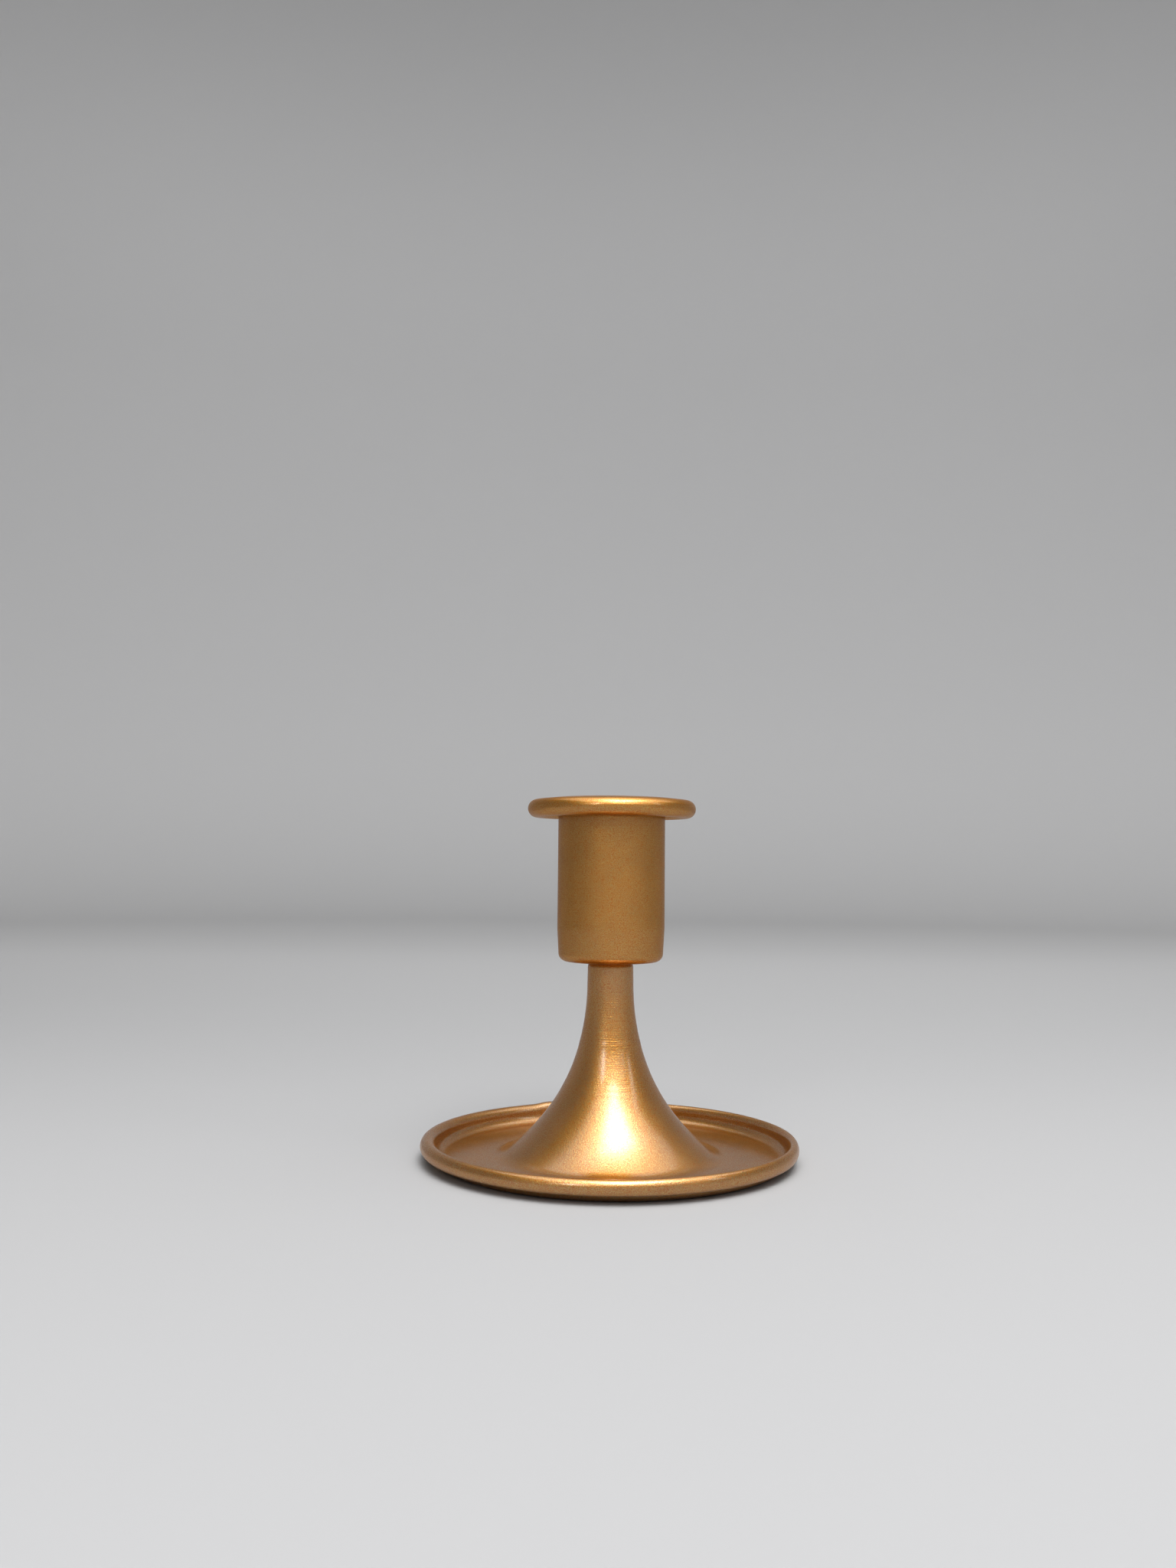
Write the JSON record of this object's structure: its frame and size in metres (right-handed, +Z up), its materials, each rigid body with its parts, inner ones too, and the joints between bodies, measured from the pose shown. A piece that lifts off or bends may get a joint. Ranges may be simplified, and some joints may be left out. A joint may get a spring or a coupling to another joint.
{
  "type": "candlestick",
  "caption": "Low candlestick of spun sheet metal in satin gold: trumpet foot with a shallow dish, cylindrical candle cup with a curled rim.",
  "frame": {"origin": "centre of the underside, on the surface that the candlestick stands on", "axes": "+Z up along the turning axis; the object is a body of revolution, so +X and +Y are free choices"},
  "size_m": [0.085, 0.085, 0.0815],
  "materials": {
    "gold_foot": "satin metallic gold paint over spun sheet",
    "gold_cup": "satin metallic gold paint over drawn and turned sheet",
    "brass_plated_screw": "brass-plated steel",
    "zinc_steel": "bright zinc plate",
    "dark_spring_steel": "oiled spring steel"
  },
  "bodies": {
    "root": {"base_shell": "gold_foot", "candle_cup": "gold_cup", "cup_screw": "brass_plated_screw", "plain_washer": "zinc_steel", "spring_washer": "dark_spring_steel", "hex_nut": "zinc_steel"}
  },
  "joints": []
}
